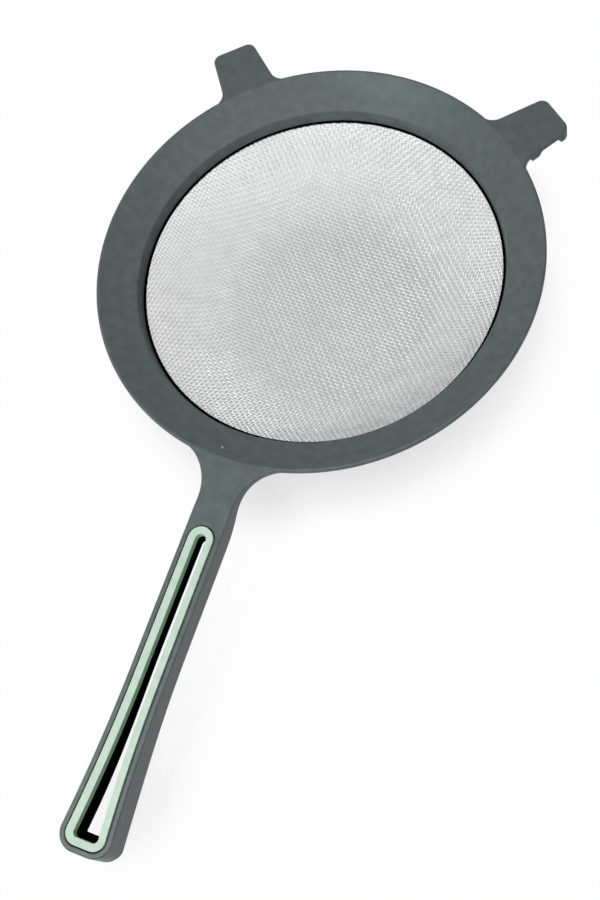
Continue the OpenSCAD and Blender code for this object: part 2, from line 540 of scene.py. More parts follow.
class Shader(NodeMaker):
    """A material's node tree, round its Principled shader."""

    def __init__(self, name: str) -> None:
        """Starts the material.

        Args:
            name: Name of the material.
        """
        self.material = bpy.data.materials.new(name)
        self.material.use_nodes = True
        super().__init__(self.material.node_tree)
        self.surface = self.tree.nodes["Principled BSDF"]

    def noise(self, grain: float, detail: float) -> Socket:
        """Adds noise on the piece's own coordinates.

        Args:
            grain: Size of a patch in millimetres.
            detail: Octaves of finer noise.

        Returns:
            The noise as a value about one half.
        """
        spot = self.node("ShaderNodeTexCoord").outputs["Object"]
        scale = 1 / (grain * MM)
        return self.node("ShaderNodeTexNoise", Vector=spot, Scale=scale, Detail=detail).outputs["Fac"]

    def between(self, share: Socket, low: float, high: float) -> Socket:
        """Maps noise onto a range of values.

        Args:
            share: Noise about one half.
            low: Value at the darkest noise.
            high: Value at the brightest noise.

        Returns:
            The mapped value.
        """
        ends = {"From_Min": NOISE_LOW, "From_Max": NOISE_HIGH, "To_Min": low, "To_Max": high}
        return self.node("ShaderNodeMapRange", Value=share, **ends).outputs["Result"]

    def tint(self, share: Socket, dark: Colour, light: Colour) -> None:
        """Colours the surface between two tones.

        Args:
            share: Noise about one half.
            dark: Tone of the darkest noise.
            light: Tone of the brightest noise.
        """
        node = self.node("ShaderNodeValToRGB", Fac=share)
        for stop, at, tone in zip(node.color_ramp.elements, (NOISE_LOW, NOISE_HIGH), (dark, light)):
            stop.position = at
            stop.color = tone
        self.fill(self.surface, Base_Color=node.outputs["Color"])

    def bump(self, height: Socket, depth: float, strength: float) -> None:
        """Roughens the surface.

        Args:
            height: Noise about one half.
            depth: Depth of the relief in millimetres.
            strength: Share of the relief that shows.
        """
        node = self.node("ShaderNodeBump", Distance=depth * MM, Strength=strength, Height=height)
        self.fill(self.surface, Normal=node.outputs["Normal"])


@dataclass(frozen=True)
class Finish:
    """A finish between two tones and two roughnesses, in patches of a size and a number of octaves."""

    name: str
    dark: Colour
    light: Colour
    roughness: tuple[float, float]

    def patched(self, tones: Patch, gloss: Patch) -> Shader:
        """Starts the material of the finish.

        Args:
            tones: Size in millimetres and octaves of the patches of tone.
            gloss: Size in millimetres and octaves of the patches of roughness.

        Returns:
            The shader, with its tones and roughness.
        """
        shader = Shader(self.name)
        shader.tint(shader.noise(*tones), self.dark, self.light)
        shader.fill(shader.surface, Roughness=shader.between(shader.noise(*gloss), *self.roughness))
        return shader


@dataclass(frozen=True)
class MouldedPlastic(Finish):
    """Matt moulded plastic with a fine spark-eroded grain and faint flow marks."""

    specular: float
    flow: Patch = (4.5, 6)
    gloss: Patch = (1.125, 3)
    grain: Patch = (0.22, 2)
    grain_depth: float = 0.02
    grain_share: float = 0.35

    def material(self) -> Material:
        """Makes the finish.

        Returns:
            The new material.
        """
        shader = self.patched(self.flow, self.gloss)
        shader.fill(shader.surface, Specular_IOR_Level=self.specular)
        shader.bump(shader.noise(*self.grain), self.grain_depth, self.grain_share)
        return shader.material


@dataclass(frozen=True)
class DrawnSteel(Finish):
    """Bright drawn wire with a little tarnish."""

    tarnish: Patch = (6.0, 5)
    gloss: Patch = (0.75, 2)

    def material(self) -> Material:
        """Makes the finish.

        Returns:
            The new material.
        """
        shader = self.patched(self.tarnish, self.gloss)
        shader.fill(shader.surface, Metallic=1.0)
        return shader.material


RUBBER_GRAIN = (0.16, 2)
FIR_PLASTIC = MouldedPlastic("fir_plastic", srgb(88, 93, 96), srgb(100, 105, 108), (0.33, 0.41), 0.16)
# Painted shade: near-black faces without gloss that stand in for the shadow in the handle's slot, in the
# groove round the inlay and under the lip's foot
PAINTED_SHADE_BLACK = MouldedPlastic("painted_shade_black", srgb(4, 5, 5), srgb(8, 9, 9), (0.6, 0.7), 0.0)
GATE_PALE = MouldedPlastic("gate_pale", srgb(150, 158, 158), srgb(164, 172, 172), (0.4, 0.5), 0.3)
MINT_RUBBER = MouldedPlastic(
    "mint_rubber", srgb(195, 208, 195), srgb(207, 219, 207), (0.5, 0.6), 0.12, grain=RUBBER_GRAIN
)
# Painted shade: a darker, greener copy of the mint rubber for the inlay's wall along the slot, where shade
# and green bounce light fall
MINT_SHADED = MouldedPlastic(
    "mint_shaded", srgb(172, 217, 182), srgb(184, 227, 193), (0.5, 0.6), 0.1, grain=RUBBER_GRAIN
)
BRIGHT_WIRE = DrawnSteel("bright_wire", srgb(202, 201, 202), srgb(218, 217, 218), (0.4, 0.5))


@dataclass
class FunnelRing:
    """The rim's ring: a sloping funnel with a rounded edge, over a lip with a thin foot on the cloth, which
    the moulding paints black as a shadow line.

    A place is a radius and a height from the edge's level, with its rounding as a third value. The dish has
    a depth below the straight slope, the foot a radius and a thickness, the hollow a height and a rounding.
    """

    radius: float = 100.0
    height: float = 43.0
    edge_over: float = 0.646
    edge_round: float = 0.9
    edge_depth: float = 2.6
    edge_foot_round: float = 0.6
    crest: Spot = (83.3, -9.0, 1.3)
    dish: Spot = (90.0, 0.4, 40.0)
    lip: Point = (82.1, -14.35)
    foot: Point = (80.9, 0.3)
    undercut: Point = (82.4, -14.8)
    lip_wall: float = 85.2
    outer_foot_round: float = 0.4
    hollow: Point = (-10.4, 1.5)
    space_skin: float = 0.8
    space_w: float = 20.0
    space_h: float = 8.0
    segments: int = 288
    steps: int = 7

    @property
    def slope(self) -> float:
        """Slope of the funnel, in radians."""
        return math.atan2(self.edge_over - self.crest[1], self.radius - self.crest[0])

    def slope_z(self, radius: float) -> float:
        """Returns the height of the straight slope at a radius, from the edge's level."""
        return self.edge_over - (self.radius - radius) * math.tan(self.slope)

    def turned(self, name: str, profile: Outline) -> Piece:
        """Returns a solid of revolution whose profile has its heights from the edge's level."""
        return revolve(name, [(r, z + self.height) for r, z in profile], self.segments)

    def body(self) -> Piece:
        """Makes the ring.

        Returns:
            The ring as a solid of revolution.
        """
        lip_r, lip_z = self.lip
        dish_r, dish_z, dish_round = self.dish
        tip_r, tip_t = self.foot
        gap_r, seat_z = self.undercut
        corners = [
            (self.radius, self.edge_over, self.edge_round),
            (dish_r, self.slope_z(dish_r) - dish_z, dish_round),
            self.crest,
            (lip_r, lip_z, 0.0),
            (tip_r, lip_z, 0.0),
            (tip_r, lip_z - tip_t, 0.0),
            (gap_r, lip_z - tip_t, 0.0),
            (gap_r, seat_z, 0.0),
            (self.lip_wall, seat_z, self.outer_foot_round),
            (self.lip_wall, *self.hollow),
            (self.radius, -self.edge_depth, self.edge_foot_round),
        ]
        return self.turned("funnel_ring", rounded(corners, self.steps))

    def space(self) -> Piece:
        """Makes the space over the funnel that the ears and the neck stay out of.

        Returns:
            The space as a solid of revolution, which reaches a skin's thickness into the funnel.
        """
        lip_r, lip_z = self.lip
        crest_r, crest_z, _ = self.crest
        top_r = self.radius - self.edge_round
        drop = self.space_skin / math.cos(self.slope)
        profile = [
            (lip_r - self.space_w, self.space_h),
            (lip_r - self.space_w, lip_z),
            (lip_r + self.space_skin, lip_z),
            (crest_r, crest_z - drop),
            (top_r, self.slope_z(top_r) - drop),
            (top_r, self.space_h),
        ]
        return self.turned("funnel_space", profile)


@dataclass
class RestEar:
    """An ear that rests on a pot's edge, with a turned-down end and an inner rib under its plate."""

    rim: FunnelRing
    angle: float = 39.5
    reach: float = 25.1
    end_w: float = 20.0
    taper_in: float = 8.0
    taper_out: float = 4.5
    plate: float = 2.9
    lip_h: float = 6.2
    rib_h: float = 5.4
    root: float = 94.0
    root_inset: float = 0.35
    fillet: float = 7.0
    corner: float = 4.0
    edge_round: float = 0.9
    sunk: float = 0.03
    lip_w: float = 6.6
    lip_slope: float = 1.8
    gap: float = 8.6
    gap_round: float = 0.5
    rib_w: float = 3.8
    rib_slope: float = 1.6
    rib_back: float = 1.0
    rib_round: float = 0.4
    deep: float = 20.0
    spare: float = 2.0
    fillet_steps: int = 14
    corner_steps: int = 10
    rib_steps: int = 4

    @property
    def end(self) -> float:
        """Distance from the rim's axis to the ear's end."""
        return self.rim.radius + self.reach

    def side(self, inset: float, taper: float) -> Outline:
        """Makes one side of the plan outline: its concave root, tapered side and rounded corner.

        Args:
            inset: How far the outline is drawn in.
            taper: Slope of the side, in degrees.

        Returns:
            The side from the root to the middle of the end, on the positive side.
        """
        slope = math.tan(math.radians(taper))
        secant = 1 / math.cos(math.radians(taper))
        base = self.rim.radius - self.root_inset + self.fillet
        width = self.end_w / 2 + self.end * slope + self.fillet * secant
        square = 1 + slope * slope
        inner = (width * slope) ** 2 - square * (width * width - base * base)
        root_y = (width * slope + math.sqrt(inner)) / square
        root_x = width - root_y * slope
        start = 180 + math.degrees(math.atan2(root_y, root_x))
        corner = (self.end_w / 2 + self.corner * (slope - secant), self.end - self.corner)
        concave = arc((root_x, root_y), self.fillet + inset, start, 180 + taper, self.fillet_steps)
        convex = arc(corner, self.corner - inset, taper, 90, self.corner_steps)
        return [(concave[0][0] - self.fillet / 2, self.root)] + concave + convex

    def level(self, inset: float, z: float) -> Ring:
        """Makes the plan outline at one height.

        Args:
            inset: How far the outline is drawn in.
            z: Height over the ear's top.

        Returns:
            The outline, clockwise seen from above, with its inner side on -X.
        """
        outer = self.side(inset, self.taper_out)
        inner = self.side(inset, self.taper_in)
        return [(x, y, z) for x, y in reversed(outer + flipped(inner))]

    def side_view(self) -> Piece:
        """Makes the prism of the ear's side view, with the lip, the gap and the rib.

        Returns:
            The prism across the ear, with the view's own axes on Y and Z.
        """
        lip = self.end - self.lip_w
        rib = lip - self.gap
        rib_foot = rib - self.rib_slope - self.rib_w
        start, stop = self.root - self.spare, self.end + self.spare
        corners = [
            (start, self.spare, 0.0),
            (start, -self.plate, 0.0),
            (rib_foot - self.rib_back, -self.plate, self.rib_round),
            (rib_foot, -self.rib_h, self.rib_round),
            (rib - self.rib_slope, -self.rib_h, self.gap_round),
            (rib, -self.plate, self.gap_round),
            (lip, -self.plate, self.gap_round),
            (lip + self.lip_slope, -self.lip_h, self.rib_round),
            (stop, -self.lip_h, 0.0),
            (stop, self.spare, 0.0),
        ]
        half = self.rim.radius / 2
        view = prism("ear_view", rounded(corners, self.rib_steps), -half, half)
        view.data.transform(Matrix(((0, 0, 1, 0), (1, 0, 0, 0), (0, 1, 0, 0), (0, 0, 0, 1))))
        return view

    def body(self, mirrored: bool) -> Piece:
        """Makes one ear.

        Args:
            mirrored: Whether this is the left ear.

        Returns:
            The ear as a solid, where it sits on the rim.
        """
        soft = self.edge_round
        rings = [self.level(soft * draw, -soft * drop) for draw, drop in quarter(EDGE_STEPS)]
        rings.append(self.level(0, -self.deep))
        ear = combine(loft("ear", rings), self.side_view(), Join.KEEP)
        turn = Matrix.Rotation(math.radians(-self.angle), 4, "Z")
        ear.data.transform(Matrix.Translation((0, 0, self.rim.height - self.sunk)) @ turn)
        if mirrored:
            ear.data.transform(Matrix.Scale(-1, 4, (1, 0, 0)))
            ear.data.flip_normals()
        return ear


@dataclass
class Grip:
    """The slotted handle: its moulded shell, the soft inlay round the slot and the cover in its back.

    The handle's own frame has u along the handle from the rim's edge and z = 0 on its top face.
    """

    rim: FunnelRing
    length: float = 166.95
    dip: float = 3.5
    sunk: float = 0.06
    depth: float = 11.8
    root_depth: float = 3.6
    end_swell: float = 3.7
    swell_start: float = 80.0
    swell_l: float = 70.0
    end_lift: float = 2.2
    end_lift_l: float = 6.0
    neck_drop_start: float = 1.0
    neck_drop_l: float = 31.0
    neck_fillet: float = 22.0
    neck_root: float = -9.0
    root_inset: float = 0.35
    root_pull: float = 0.3
    slot_w: float = 4.6
    slot_start: float = 32.4
    slot_taper: float = 0.003
    flare: float = 0.00068
    flare_start: float = 95.0
    slot_corner: float = 2.0
    inlay_w: float = 3.2
    inlay_t: float = 3.6
    inlay_proud: float = 0.5
    inlay_slope: float = 0.5
    inlay_round: float = 0.3
    border_w: float = 2.75
    foot_corner: float = 6.4
    top_round: float = 0.7
    foot_round: float = 0.8
    pocket_gap: float = 0.3
    groove_w: float = 0.72
    groove_h: float = 1.1
    # Depth below the top from which the groove round the inlay is painted black as shade
    groove_shade_from: float = 0.35
    back_wall: float = 2.2
    back_gap: float = 0.12
    back_start: float = 26.0
    seam_depth: float = 8.0
    seam_round: float = 0.25
    back_slot_ease: float = 0.5
    back_slot_short: float = 3.0
    # Margins across and along the handle of the shade painted black into the slot
    shade_spare: float = 0.1
    shade_spare_l: float = 0.2
    through: float = 40.0
    over: float = 5.0
    side_steps: int = 36
    round_steps: int = 16
    slot_steps: int = 14
    neck_steps: int = 24
    inlay_steps: int = 6

    @property
    def slot_end(self) -> float:
        """Distance from the rim's edge to the far end of the slot."""
        return self.length - self.inlay_w - self.border_w

    @property
    def corner(self) -> float:
        """Radius of the handle's end corners in plan, concentric with the slot's."""
        return self.slot_corner + self.inlay_w + self.border_w

    @property
    def inlay_dip(self) -> float:
        """Height of the inlay's edge along the slot."""
        return self.inlay_proud - self.inlay_slope

    @property
    def seat(self) -> Matrix:
        """Place of the handle's own frame in the part's frame."""
        turn = Matrix.Rotation(math.radians(self.dip), 4, "X")
        return Matrix.Translation((0, -self.rim.radius, self.rim.height - self.sunk)) @ turn

    def slot_half(self, u: float) -> float:
        """Returns half of the slot's width."""
        flare = self.flare * max(0.0, u - self.flare_start) ** 2
        return self.slot_w / 2 + self.slot_taper * (u - self.slot_start) + flare

    def half(self, u: float) -> float:
        """Returns half of the handle's width."""
        return self.slot_half(u) + self.inlay_w + self.border_w

    def foot(self, u: float) -> float:
        """Gives the handle's depth below its top face.

        Args:
            u: Distance along the handle.

        Returns:
            The depth there.
        """
        drop = ease((u - self.neck_drop_start) / self.neck_drop_l)
        swell = self.end_swell * ease((u - self.swell_start) / self.swell_l)
        lift = self.end_lift * ease((u - self.length + self.end_lift_l) / self.end_lift_l)
        return self.root_depth + (self.depth - self.root_depth) * drop + swell - lift

    def stations(self, first: float, last: float) -> list[float]:
        """Returns evenly spaced distances along the handle, without the last."""
        return [first + (last - first) * i / self.side_steps for i in range(self.side_steps)]

    def slot_side(self, offset: float, end: float = 0.0, round_end: bool = True) -> Outline:
        """Makes the right half of an outline that runs round the slot.

        Args:
            offset: Distance from the slot.
            end: How far the slot's end is moved along the handle.
            round_end: Whether the slot's end has its rounded corners.

        Returns:
            The half outline from the neck to the end.
        """
        neck_r = self.slot_w / 2
        first = self.slot_start + neck_r
        soft = self.slot_corner if round_end else 0.0
        last = self.slot_end + end - soft
        neck = arc((0, first), neck_r + offset, -90, 0, self.round_steps)
        side = [(self.slot_half(u) + offset, u) for u in self.stations(first, last)[1:]]
        corner = (self.slot_half(last) - soft, last)
        return neck + side + arc(corner, soft + offset, 0, 90, self.slot_steps)

    def grip_side(self, inset: float, start: float, corner: float) -> Outline:
        """Makes the right half of the handle's plan outline.

        Args:
            inset: How far the outline is drawn in.
            start: Where it starts along the handle, or 0 for the filleted neck.
            corner: Radius of the end's corner.

        Returns:
            The half outline from the rim, or the start, to the end.
        """
        rim_r = self.rim.radius
        neck_x = self.half(0) + self.neck_fillet
        reach = rim_r - self.root_inset + self.neck_fillet
        neck_u = math.sqrt(reach * reach - neck_x * neck_x) - rim_r
        last = self.length - corner
        side = [(self.half(u) - inset, u) for u in self.stations(max(start, neck_u), last)]
        end = arc((self.half(last) - corner, last), corner - inset, 0, 90, self.round_steps)
        if start > 0:
            return side + end
        rim_a = 180 + math.degrees(math.atan2(rim_r + neck_u, neck_x))
        neck = arc((neck_x, neck_u), self.neck_fillet + inset, rim_a, 180, self.neck_steps)
        root = (neck_x - self.neck_fillet * self.root_pull, self.neck_root)
        return [root] + neck + side[1:] + end

    def level(self, inset: float, start: float, corner: float, z: float, from_foot: bool = False) -> Ring:
        """Makes one ring of the handle.

        Args:
            inset: How far the ring is drawn in.
            start: Where it starts along the handle.
            corner: Radius of the end's corner.
            z: Its height over the handle's top face, or over its foot.
            from_foot: Whether the height is over the foot.

        Returns:
            The ring in the handle's own frame.
        """
        half = self.grip_side(inset, start, corner)
        return [(x, -u, z - self.foot(u) if from_foot else z) for x, u in half + flipped(half)]

    def levels(self, start: float, corners: Point, top: float, rounding: float, inset: float) -> list[Ring]:
        """Makes the rings of a handle's body, with rounded top and foot edges.

        Args:
            start: Where the body starts along the handle.
            corners: Radius of the end's corners at the top and at the foot.
            top: Depth of its level top below the handle's top face.
            rounding: Radius of its top edge.
            inset: How far it is drawn in from the handle's outline.

        Returns:
            The rings from the top down.
        """
        top_corner, foot_corner = corners
        soft = self.foot_round
        rings = []
        for draw, drop in quarter(EDGE_STEPS):
            rings.append(self.level(inset + rounding * draw, start, top_corner, -(top + rounding * drop)))
        for rise, draw in quarter(FOOT_STEPS):
            rings.append(self.level(inset + soft * draw, start, foot_corner, soft * rise, from_foot=True))
        return rings

    def slot_level(self, offset: float, z: float) -> Ring:
        """Returns an outline round the slot at one height, in the handle's own frame."""
        half = self.slot_side(offset)
        return [(x, -u, z) for x, u in half + flipped(half)]

    def cutter(self, name: str, half: Outline, top: float) -> Piece:
        """Returns the space below a level inside a half outline and its mirror image."""
        outline = [(x, -u) for x, u in reversed(half + flipped(half))]
        return prism(name, outline, -self.through, top)

    def pocket(self) -> Piece:
        """Makes the space of the inlay's pocket, whose upper edge is rounded and leaves a groove.

        Returns:
            The space in the handle's own frame.
        """
        wall = self.inlay_w + self.pocket_gap
        rings = [self.slot_level(wall + self.groove_w, self.over)]
        for draw, drop in quarter(EDGE_STEPS):
            rings.append(self.slot_level(wall + self.groove_w * draw, -self.groove_h * drop))
        rings.append(self.slot_level(wall, -self.inlay_t))
        return loft("pocket_space", rings)

    def in_pocket(self, facet: Facet) -> bool:
        """Tells whether a face is deep in the groove round the inlay, where shade is painted black.

        Args:
            facet: The face, in the handle's own frame.

        Returns:
            Whether it is.
        """
        spot = facet.middle
        width = self.inlay_w + self.pocket_gap + self.groove_w
        along = self.slot_start - width < -spot.y < self.slot_end + width
        deep = -self.inlay_t < spot.z < -self.groove_shade_from
        return along and deep and abs(spot.x) < self.slot_half(-spot.y) + width

    def in_slot(self, facet: Facet) -> bool:
        """Tells whether a face stands in the slot below the inlay, or is the ledge at the slot's end, where
        shade is painted black.

        Args:
            facet: The face, in the handle's own frame.

        Returns:
            Whether it is.
        """
        spot, rise = facet.middle, facet.normal.z
        along = self.slot_start - self.shade_spare_l < -spot.y < self.slot_end + self.shade_spare_l
        if not along or spot.z > -self.inlay_t + TOUCH:
            return False
        ledge = rise > LEVEL and abs(spot.z + self.seam_depth) < TOUCH
        beside = abs(spot.x) < self.slot_half(-spot.y) + self.back_slot_ease + self.shade_spare
        return ledge or (beside and abs(rise) < UPRIGHT)

    def in_painted_shade(self, facet: Facet) -> bool:
        """Returns whether a face of the shell or the cover is in the groove or in the slot, where shade is
        painted black.
        """
        return self.in_pocket(facet) or self.in_slot(facet)

    def on_inlay_wall(self, facet: Facet) -> bool:
        """Tells whether a face of the inlay is its upright wall along the slot.

        Args:
            facet: The face, in the handle's own frame.

        Returns:
            Whether it is.
        """
        spot = facet.middle
        inside = abs(spot.x) < self.slot_half(-spot.y) + TOUCH
        return inside and spot.z < self.inlay_dip - self.inlay_round and abs(facet.normal.z) < UPRIGHT

    def shell(self) -> Piece:
        """Makes the handle's outer wall and top, with its slot, pocket and recess.

        Returns:
            The shell, where it sits.
        """
        shell = loft("grip", self.levels(0, (self.corner, self.foot_corner), 0, self.top_round, 0))
        combine(shell, self.cutter("slot_space", self.slot_side(0), self.over), Join.CUT)
        combine(shell, self.pocket(), Join.CUT)
        recess = self.grip_side(self.back_wall, self.back_start, self.foot_corner)
        combine(shell, self.cutter("recess", recess, -self.seam_depth), Join.CUT)
        shell.data.transform(self.seat)
        return shell

    def back(self, plastic: Material, dark: Material) -> Piece:
        """Makes the cover that closes the handle's back, with its own eased slot.

        Args:
            plastic: Finish of the cover.
            dark: Black painted shade for its slot's walls.

        Returns:
            The cover, where it sits.
        """
        corners = (self.foot_corner, self.foot_corner)
        inset = self.back_wall + self.back_gap
        start = self.back_start + self.back_gap
        back = loft("back", self.levels(start, corners, self.seam_depth, self.seam_round, inset))
        slot = self.slot_side(self.back_slot_ease, -self.back_slot_short, round_end=False)
        combine(back, self.cutter("slot_space", slot, self.over), Join.CUT)
        back.data.transform(self.seat)
        wear(back, plastic, dark)
        # Paints the walls of the slot black as shade
        paint(back, Coat.INSIDE, self.in_painted_shade, self.seat)
        smooth(back, FRAME_SHARP)
        return back

    def inlay(self, mint: Material, deep: Material) -> Piece:
        """Makes the soft inlay, a closed band of rounded section round the slot.

        Args:
            mint: Finish of the inlay.
            deep: Darker, greener copy of the mint, painted as shade on its wall along the slot.

        Returns:
            The inlay, where it sits.
        """
        section = [
            (0.0, self.inlay_dip, self.inlay_round),
            (0.0, -self.inlay_t, 0.0),
            (self.inlay_w, -self.inlay_t, 0.0),
            (self.inlay_w, self.inlay_proud, self.inlay_round),
        ]
        outline = rounded(section, self.inlay_steps)
        inlay = band("inlay", [self.slot_level(offset, z) for offset, z in outline])
        wear(inlay, mint, deep)
        # Paints the wall along the slot in the shaded mint
        paint(inlay, Coat.INSIDE, self.on_inlay_wall)
        inlay.data.transform(self.seat)
        smooth(inlay, SMALL_SHARP)
        return inlay


@dataclass
class FrameMoulding:
    """The one-piece moulding of the funnel's ring, the two ears and the handle's shell.

    The gate's dimple and pip have a radius on the surface and how many times wider than deep they are.
    """

    rim: FunnelRing
    ear: RestEar
    grip: Grip
    gate: Point = (-6.75, -93.96)
    gate_dimple: Point = (0.95, 4.0)
    gate_pip: Point = (0.5, 0.6)
    gate_fineness: int = 3
    pip_face: float = 0.02

    @property
    def gate_place(self) -> Vector:
        """Place of the gate's mark on the funnel."""
        return Vector((*self.gate, self.rim.height + self.rim.slope_z(math.hypot(*self.gate))))

    def gate_ball(self, radius: float, flat: float) -> Piece:
        """Makes a ball for the mark that the mould's gate leaves on the funnel.

        Args:
            radius: Radius of the mark on the surface.
            flat: How many times wider than deep the ball is.

        Returns:
            The flattened ball, where it sits on the funnel.
        """
        ball = solid("gate_mark", [], [])
        shape = bmesh.new()
        bmesh.ops.create_icosphere(shape, subdivisions=self.gate_fineness, radius=radius)
        shape.to_mesh(ball.data)
        shape.free()
        middle = self.gate_place
        lean = Matrix.Rotation(-self.rim.slope, 4, Vector((-middle.y, middle.x, 0)))
        ball.data.transform(Matrix.Translation(middle) @ lean @ Matrix.Diagonal((1, 1, 1 / flat, 1)))
        return ball

    def on_foot(self, facet: Facet) -> bool:
        """Tells whether a face is on the thin foot of the lip, which is painted black as a shadow line.

        Args:
            facet: The face, in the part's frame.

        Returns:
            Whether it is.
        """
        gap_r, seat_z = self.rim.undercut
        height = facet.middle.z - self.rim.height - TOUCH
        return seat_z < height < self.rim.lip[1] and math.hypot(*facet.middle.xy) < gap_r

    def on_pip(self, facet: Facet) -> bool:
        """Tells whether a face is on the pip that the gate leaves.

        Args:
            facet: The face, in the part's frame.

        Returns:
            Whether it is.
        """
        radius = self.gate_pip[0]
        away = facet.middle - self.gate_place
        return away.xy.length < radius and away.length < 2 * radius and facet.area < self.pip_face

    def build(self, plastic: Material, dark: Material, pale: Material) -> Piece:
        """Makes the whole moulding.

        Args:
            plastic: Finish of the moulding.
            dark: Black painted shade for the slot's walls, the groove round the inlay and the lip's foot.
            pale: Finish of the gate's pip.

        Returns:
            The moulding as one solid.
        """
        arms = self.grip.shell()
        for mirrored in (False, True):
            combine(arms, self.ear.body(mirrored), Join.ADD)
        combine(arms, self.rim.space(), Join.CUT)
        whole = combine(self.rim.body(), arms, Join.ADD)
        combine(whole, self.gate_ball(*self.gate_dimple), Join.CUT)
        combine(whole, self.gate_ball(*self.gate_pip), Join.ADD)
        wear(whole, plastic, dark, pale)
        # Paints shade black into the slot, the groove and onto the lip's foot
        paint(whole, Coat.INSIDE, self.grip.in_painted_shade, self.grip.seat)
        paint(whole, Coat.INSIDE, self.on_foot)
        paint(whole, Coat.GATE, self.on_pip)
        smooth(whole, FRAME_SHARP)
        return whole


@dataclass
class ClampRing:
    """The ring under the lip that holds the cloth's hem, an L in section."""

    rim: FunnelRing
    cloth_t: float = 0.9
    gap: float = 0.2
    base: float = 1.8
    rise: float = 2.2
    wall: float = 1.6
    soft: float = 0.35
    segments: int = 240
    steps: int = 5

    def build(self, plastic: Material) -> Piece:
        """Makes the ring.

        Args:
            plastic: Finish of the ring.

        Returns:
            The ring as a solid of revolution.
        """
        inner_r, seat_z = self.rim.undercut
        seat_z += self.rim.height
        hem_z = seat_z - self.cloth_t
        inside = self.rim.lip_wall + self.gap
        outside = inside + self.wall
        corners = [
            (inner_r, hem_z, self.soft),
            (inner_r, hem_z - self.base, self.soft),
            (outside, hem_z - self.base, self.soft * 2),
            (outside, seat_z + self.rise, self.soft),
            (inside, seat_z + self.rise, self.soft),
            (inside, hem_z, 0.0),
        ]
        clamp = revolve("clamp", rounded(corners, self.steps), self.segments)
        wear(clamp, plastic)
        smooth(clamp, SMALL_SHARP)
        return clamp


class WeaveTree(NodeMaker):
    """A Geometry Nodes tree with named inputs for its sizes."""

    def __init__(self, name: str) -> None:
        """Starts an empty tree.

        Args:
            name: Name of the tree.
        """
        super().__init__(bpy.data.node_groups.new(name, "GeometryNodeTree"))
        self.entry = self.tree.nodes.new("NodeGroupInput")
        self.keys: dict[str, str] = {}

    def size(self, name: str, kind: str = "Float") -> Socket:
        """Adds a named input to the tree.

        Args:
            name: Name of the input.
            kind: Kind of socket.

        Returns:
            The socket inside the tree.
        """
        made = self.tree.interface.new_socket(name, in_out="INPUT", socket_type=f"NodeSocket{kind}")
        self.keys[name] = made.identifier
        return next(entry for entry in self.entry.outputs if entry.identifier == made.identifier)

    def finish(self, geometry: Socket) -> None:
        """Ends the tree with its one output."""
        self.tree.interface.new_socket("Geometry", in_out="OUTPUT", socket_type="NodeSocketGeometry")
        self.tree.links.new(geometry, self.tree.nodes.new("NodeGroupOutput").inputs[0])


